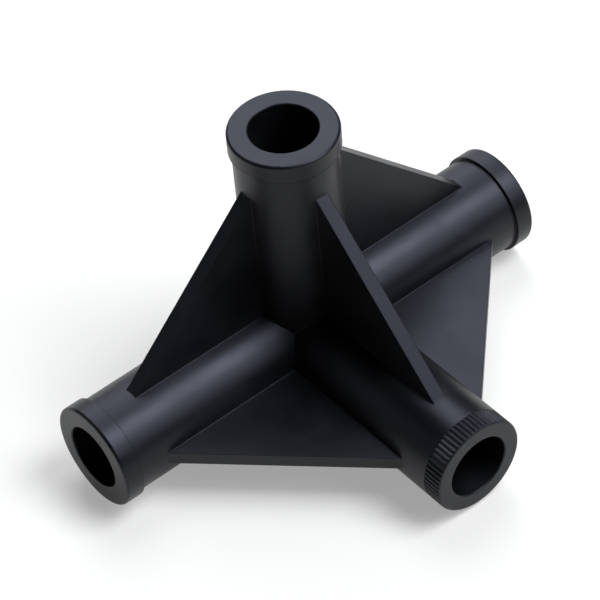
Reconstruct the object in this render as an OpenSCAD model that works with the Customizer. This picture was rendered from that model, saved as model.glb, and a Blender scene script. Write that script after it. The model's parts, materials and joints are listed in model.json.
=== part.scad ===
// Four-way tube connector: one moulded piece with four blind sockets.
// Two sockets are in line, one branches off at a right angle and one stands up from the crossing.
// X runs along the two sockets in line, the branch points to -Y and the upright to +Z.
// The part lies on its collars at z = 0, with the middle of its bounding box over the origin.

/* [Sockets] */
// Outside diameter of the frame tube that pushes into each socket
frame_tube_d = 16; // [12:0.5:22]
// Play between the frame tube and the socket wall, all round
socket_play = 0.2; // [0.05:0.05:0.5]
// Depth of each socket from its mouth to its floor
socket_depth = 50; // [30:1:50]
// Size of the chamfer that leads the frame tube into the mouth
lead_in = 0.25; // [0.1:0.05:1]

/* [Arms] */
// Distance from the crossing of the axes to each mouth
arm_len = 64; // [64:1:90]
// Wall of the arms around the sockets
wall = 4.3; // [3:0.1:6]

/* [Collars] */
// Length of the raised collar at each plain mouth
collar_len = 4.9; // [3:0.1:8]
// Height of the collars above the arms
collar_rise = 0.8; // [0.4:0.05:1.5]
// Radius of the rounded rim around each mouth
rim_round = 0.7; // [0.3:0.1:1]

/* [Serrations] */
// Number of fine ribs around the end of the branch
rib_count = 64; // [40:1:90]
// Length of the ribs, back from the mouth
rib_len = 5; // [3:0.1:8]
// Depth of the grooves between the ribs
rib_depth = 0.35; // [0.2:0.05:0.5]
// Height above the ribs at which the walls of two grooves would meet, which sets the width of the crests
rib_peak = 0.1; // [0.05:0.05:0.2]

/* [Webs] */
// Thickness of the gusset webs
web_t = 3.5; // [2:0.1:6]
// Distance behind a mouth at which the line of a web's edge would cross the arm's axis
web_setback = 0.5; // [0:0.5:12]

/* [Hidden] */
$fn = 96;

bore_r = frame_tube_d / 2 + socket_play;
tube_r = bore_r + wall;
collar_r = tube_r + collar_rise;
// Length of the plain tubes, which end inside their collars
tube_len = arm_len - rim_round;
web_reach = arm_len - web_setback;
// How far a tool stands out of the solid that it cuts
clear = 1;
// The crossing of the axes, seen from the middle of the part's footprint
crossing = [0, (arm_len - collar_r) / 2, collar_r];

// Turns that carry an arm drawn along +Z to each of its four places
upright = [0, 0, 0];
run_left = [0, -90, 0];
run_right = [0, 90, 0];
branch = [90, 0, 0];
collared_arms = [upright, run_left, run_right];
all_arms = [upright, run_left, run_right, branch];

// Outline, from the arm's axis outwards, of a disc or rod whose upper rim is rounded
module rounded_outline(r, h) {
    square([r, h - rim_round]);
    square([r - rim_round, h]);
    translate([r - rim_round, h - rim_round])
        circle(r = rim_round);
}

// Smooth collar, up to the mouth
module collar() {
    translate([0, 0, arm_len - collar_len])
        rotate_extrude()
            rounded_outline(collar_r, collar_len);
}

// Section through the ribs: one peak and one root for each
module rib_star() {
    step = 360 / rib_count;
    polygon([
        for (i = [0 : rib_count - 1], side = [0, 1])
            let (a = (i + side / 2) * step, r = tube_r + (side == 0 ? rib_peak : -rib_depth))
                [r * cos(a), r * sin(a)]
    ]);
}

// Axial grooves around the end of an arm, out over its rounded rim
module grooves() {
    translate([0, 0, arm_len - rib_len])
        linear_extrude(height = rib_len + clear)
            difference() {
                circle(r = tube_r + clear);
                rib_star();
            }
}

// Space for one frame tube, with its lead-in
module socket() {
    rotate_extrude()
        polygon([
            [0, arm_len - socket_depth],
            [bore_r, arm_len - socket_depth],
            [bore_r, arm_len - lead_in],
            [bore_r + lead_in, arm_len],
            [bore_r + lead_in, arm_len + clear],
            [0, arm_len + clear]
        ]);
}

// Triangular web in the corner between +X and +Y
module web() {
    linear_extrude(height = web_t, center = true)
        polygon([[0, 0], [web_reach, 0], [0, web_reach]]);
}

// The webs beside the branch, and those beside the upright
module webs() {
    for (turn = [180, -90])
        rotate([0, 0, turn])
            web();
    for (turn = [0, 180, -90])
        rotate([0, 0, turn])
            rotate([90, 0, 0])
                web();
}

module arms() {
    rotate(run_left)
        cylinder(r = tube_r, h = 2 * tube_len, center = true);
    cylinder(r = tube_r, h = tube_len);
    rotate(branch)
        rotate_extrude()
            rounded_outline(tube_r, arm_len);
    for (turn = collared_arms)
        rotate(turn)
            collar();
}

module connector_body() {
    color("#1b1c1f")
        translate(crossing)
            difference() {
                union() {
                    arms();
                    webs();
                }
                for (turn = all_arms)
                    rotate(turn)
                        socket();
                rotate(branch)
                    grooves();
            }
}

connector_body();
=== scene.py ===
"""The four-way tube connector: the finish of its moulded plastic, on a plain floor in soft studio light."""
import json
import math

import bpy
from mathutils import Matrix, Vector

MM = 0.001

# Camera: where it stands, seen from the aim point, as fitted to the photograph
AIM_ABOVE_CROSSING = 7.5 * MM
VIEW_AZIMUTH = -35.79
VIEW_ELEVATION = 45.76
VIEW_ROLL = -5.6
VIEW_DISTANCE = 0.7482
LENS_MM = 186
SENSOR_MM = 36

# Softboxes: azimuth from +X and elevation in degrees, width and height in metres, radiance
LAMP_DISTANCE = 1.5
LAMP_COLOUR = (0.83, 0.88, 1.0)
SOFTBOXES = {
    "key": (315, 60, (0.75, 0.75), 11.2),
    "front_right": (300, 35, (0.75, 0.75), 3.2),
    "back_right_high": (52, 60, (0.95, 0.75), 3.9),
    "back_right": (60, 35, (0.75, 0.75), 3.6),
    "back_right_low": (60, 12, (0.75, 0.5), 1.4),
    "back_left": (150, 24, (0.75, 1.1), 0.38),
}
WORLD_LEVEL = 0.01

# Floor: pale, with the lamps' cool tint taken out, and the rest of its white from the view of it
FLOOR_SIZE = 12.0
FLOOR_COLOUR = (0.68, 0.65, 0.57, 1)
FLOOR_ROUGHNESS = 0.9
FLOOR_GLOW = 0.34

# Plastic: its colours and gloss
BLACK = (0.0036, 0.0037, 0.0043, 1)
DUSTY_BLACK = (0.0068, 0.0070, 0.0080, 1)
# Lighter black for the scuffs, and for the edges, where it is partly wear and partly a painted highlight
WORN_AND_GLINT_BLACK = (0.022, 0.023, 0.026, 1)
GLOSS_LEVEL = 0.3
GLOSS_TINT = (0.86, 0.88, 1.0, 1)
ROUGHNESS = (0.35, 0.42)
SCUFF_ROUGHNESS = 0.06
SCUFF_SHARE = 0.12
# Share of lighter black on the edges: partly rubbed wear, partly a painted highlight
RUB_AND_GLINT_SHARE = 0.35

# Plastic: the sizes and depths of its texture
CLOUD_SIZE = 11 * MM
PEEL_SIZE = 2.6 * MM
PEEL_DEPTH = 0.02 * MM
PEEL_STRENGTH = 0.35
GRAIN_SIZE = 0.32 * MM
GRAIN_DEPTH = 0.012 * MM
GRAIN_STRENGTH = 0.45
# Patch size of the lighter edges, partly wear and partly a painted highlight
RUB_AND_GLINT_SIZE = 2.2 * MM
EDGE_ROUND = 0.3 * MM
EDGE_SAMPLES = 6

# Two families of scuffs: size, how much finer they are across, turn, and the span of noise that shows
SCUFFS = (
    (9 * MM, (1, 14, 1), (0.4, 0.2, 0.6), (0.66, 0.74)),
    (8 * MM, (14, 1, 1), (0.3, 0.5, -0.5), (0.67, 0.75)),
)


def new_material(name):
    """An empty node material with its output and Principled shader."""
    material = bpy.data.materials.new(name)
    material.use_nodes = True
    nodes = material.node_tree.nodes
    nodes.clear()
    output = nodes.new("ShaderNodeOutputMaterial")
    shader = nodes.new("ShaderNodeBsdfPrincipled")
    material.node_tree.links.new(shader.outputs["BSDF"], output.inputs["Surface"])
    return material, shader, Nodes(material.node_tree)


class Nodes:
    """Shorthand for the nodes of one procedural material, in its object's own coordinates."""

    def __init__(self, tree):
        self.tree = tree

    def put(self, socket, value):
        """Link a socket to another one, or set its value."""
        if isinstance(value, bpy.types.NodeSocket):
            self.tree.links.new(value, socket)
        else:
            socket.default_value = value

    def add(self, kind, inputs=None, **settings):
        """A node of this kind with these inputs, by name or number, and settings."""
        node = self.tree.nodes.new(kind)
        for name, value in settings.items():
            setattr(node, name, value)
        for name, value in (inputs or {}).items():
            self.put(node.inputs[name], value)
        return node

    def noise(self, size, detail=2.0, rough=0.5, stretch=(1, 1, 1), turn=(0, 0, 0)):
        """Noise from 0 to 1 whose grains are about this size."""
        place = self.add("ShaderNodeTexCoord").outputs["Object"]
        mapping = self.add("ShaderNodeMapping", {"Vector": place, "Scale": stretch, "Rotation": turn})
        node = self.add("ShaderNodeTexNoise", {
            "Vector": mapping.outputs["Vector"],
            "Scale": 1 / size,
            "Detail": detail,
            "Roughness": rough,
        })
        return node.outputs["Fac"]

    def ramp(self, value, low, high, start=0.0, end=1.0):
        """The value's span from low to high, spread smoothly over start to end."""
        node = self.add("ShaderNodeMapRange", {
            "Value": value,
            "From Min": low,
            "From Max": high,
            "To Min": start,
            "To Max": end,
        }, interpolation_type="SMOOTHSTEP")
        return node.outputs["Result"]

    def math(self, operation, first, second):
        return self.add("ShaderNodeMath", {0: first, 1: second}, operation=operation).outputs[0]

    def blend(self, share, first, second):
        """The first colour, with this share of the second one mixed in."""
        node = self.add("ShaderNodeMix", data_type="RGBA")
        for name, value in (("Factor", share), ("A", first), ("B", second)):
            self.put(node.inputs[name], value)
        return node.outputs["Result"]

    def bump(self, height, depth, strength, normal):
        node = self.add("ShaderNodeBump", {
            "Height": height,
            "Distance": depth,
            "Strength": strength,
            "Normal": normal,
        })
        return node.outputs["Normal"]


def moulded_plastic():
    """Satin black plastic: a fine eroded grain, cloudy gloss, faint scuffs, and edges a little lighter, partly
    rubbed wear and partly a painted highlight along every edge.
    """
    material, shader, n = new_material("moulded_black_plastic")
    cloud = n.noise(CLOUD_SIZE, detail=3, rough=0.55)
    peel = n.noise(PEEL_SIZE, detail=1)
    grain = n.noise(GRAIN_SIZE, detail=2, rough=0.6)
    scuffs = n.math("MAXIMUM", *(
        n.ramp(n.noise(size, stretch=stretch, turn=turn), *span)
        for size, stretch, turn, span in SCUFFS
    ))

    # Rounded edges, and how far the surface turns there
    rounded = n.add("ShaderNodeBevel", {"Radius": EDGE_ROUND}, samples=EDGE_SAMPLES).outputs["Normal"]
    flat = n.add("ShaderNodeNewGeometry").outputs["Normal"]
    turned = n.add("ShaderNodeVectorMath", {0: rounded, 1: flat}, operation="DOT_PRODUCT").outputs["Value"]
    edge = n.ramp(turned, 0.995, 0.90)
    # Lighter edges in patches, on hollow edges too: partly rubbed wear, partly a painted highlight
    rubbed_and_glint = n.math("MULTIPLY", edge, n.ramp(n.noise(RUB_AND_GLINT_SIZE, detail=3), 0.42, 0.68))

    colour = n.blend(n.ramp(cloud, 0.35, 0.75), BLACK, DUSTY_BLACK)
    colour = n.blend(n.math("MULTIPLY", scuffs, SCUFF_SHARE), colour, WORN_AND_GLINT_BLACK)
    # Painted edge highlight, mixed with rubbed wear, in the base colour
    colour = n.blend(n.math("MULTIPLY", rubbed_and_glint, RUB_AND_GLINT_SHARE), colour, WORN_AND_GLINT_BLACK)
    n.put(shader.inputs["Base Color"], colour)

    roughness = n.ramp(cloud, 0.25, 0.75, *ROUGHNESS)
    roughness = n.math("ADD", roughness, n.math("MULTIPLY", scuffs, SCUFF_ROUGHNESS))
    n.put(shader.inputs["Roughness"], roughness)
    shader.inputs["Specular IOR Level"].default_value = GLOSS_LEVEL
    shader.inputs["Specular Tint"].default_value = GLOSS_TINT

    normal = n.bump(peel, PEEL_DEPTH, PEEL_STRENGTH, rounded)
    normal = n.bump(grain, GRAIN_DEPTH, GRAIN_STRENGTH, normal)
    n.put(shader.inputs["Normal"], normal)
    return material


def make_floor():
    """A pale floor, seen as white, that keeps the part's soft shadow."""
    bpy.ops.mesh.primitive_plane_add(size=FLOOR_SIZE)
    floor = bpy.context.object
    floor.name = "floor"
    material, shader, n = new_material("pale_floor")
    shader.inputs["Base Color"].default_value = FLOOR_COLOUR
    shader.inputs["Roughness"].default_value = FLOOR_ROUGHNESS
    shader.inputs["Specular IOR Level"].default_value = 0.0
    shader.inputs["Emission Color"].default_value = (1, 1, 1, 1)
    path = n.add("ShaderNodeLightPath").outputs
    seen = n.math("MAXIMUM", path["Is Camera Ray"], path["Is Glossy Ray"])
    seen = n.math("MAXIMUM", seen, path["Is Transmission Ray"])
    n.put(shader.inputs["Emission Strength"], n.math("MULTIPLY", seen, FLOOR_GLOW))
    floor.data.materials.append(material)


def softbox(name, azimuth, elevation, size, level, target):
    """An area lamp of this radiance that faces the target."""
    data = bpy.data.lights.new(name, "AREA")
    data.shape = "RECTANGLE"
    data.size, data.size_y = size
    data.energy = level * math.pi * size[0] * size[1]
    data.color = LAMP_COLOUR
    lamp = bpy.data.objects.new(name, data)
    bpy.context.scene.collection.objects.link(lamp)
    azimuth, elevation = math.radians(azimuth), math.radians(elevation)
    towards = Vector((
        math.cos(azimuth) * math.cos(elevation),
        math.sin(azimuth) * math.cos(elevation),
        math.sin(elevation),
    ))
    lamp.location = target + towards * LAMP_DISTANCE
    lamp.rotation_euler = towards.to_track_quat("Z", "Y").to_euler()
    lamp.visible_camera = False


def make_lights(target):
    """The softboxes around the target, and a faint even light from everywhere."""
    for name, values in SOFTBOXES.items():
        softbox(name, *values, target)
    world = bpy.data.worlds.new("studio")
    bpy.context.scene.world = world
    world.use_nodes = True
    background = world.node_tree.nodes["Background"]
    background.inputs["Color"].default_value = (1, 1, 1, 1)
    background.inputs["Strength"].default_value = WORLD_LEVEL


def make_camera(aim):
    """The photograph's viewpoint, aimed at the part."""
    data = bpy.data.cameras.new("camera")
    data.sensor_width = SENSOR_MM
    data.lens = LENS_MM
    camera = bpy.data.objects.new("camera", data)
    bpy.context.scene.collection.objects.link(camera)
    azimuth, elevation = math.radians(VIEW_AZIMUTH), math.radians(VIEW_ELEVATION)
    back = Vector((
        math.sin(azimuth) * math.cos(elevation),
        -math.cos(azimuth) * math.cos(elevation),
        math.sin(elevation),
    ))
    turn = (-back).to_track_quat("-Z", "Y").to_matrix()
    turn = turn @ Matrix.Rotation(math.radians(VIEW_ROLL), 3, "Z")
    camera.matrix_world = Matrix.Translation(aim + back * VIEW_DISTANCE) @ turn.to_4x4()
    bpy.context.scene.camera = camera


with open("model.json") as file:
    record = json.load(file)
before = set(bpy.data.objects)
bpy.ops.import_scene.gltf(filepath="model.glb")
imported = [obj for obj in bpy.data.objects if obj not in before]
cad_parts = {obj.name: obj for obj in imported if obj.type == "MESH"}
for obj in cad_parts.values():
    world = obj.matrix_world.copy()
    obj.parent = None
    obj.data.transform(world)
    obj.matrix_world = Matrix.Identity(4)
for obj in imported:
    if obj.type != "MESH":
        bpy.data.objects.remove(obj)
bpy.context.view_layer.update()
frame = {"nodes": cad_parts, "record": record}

# The crossing of the sockets' axes
mounts = {m["name"]: m for m in frame["record"]["mounts"]}
crossing = Vector((
    mounts["upright_socket"]["pos_m"][0],
    mounts["upright_socket"]["pos_m"][1],
    mounts["branch_socket"]["pos_m"][2],
))

body = frame["nodes"]["connector_body"]
body.data.materials.clear()
body.data.materials.append(moulded_plastic())

make_floor()
make_lights(crossing)
make_camera(crossing + Vector((0, 0, AIM_ABOVE_CROSSING)))
bpy.context.scene.view_settings.view_transform = "Standard"
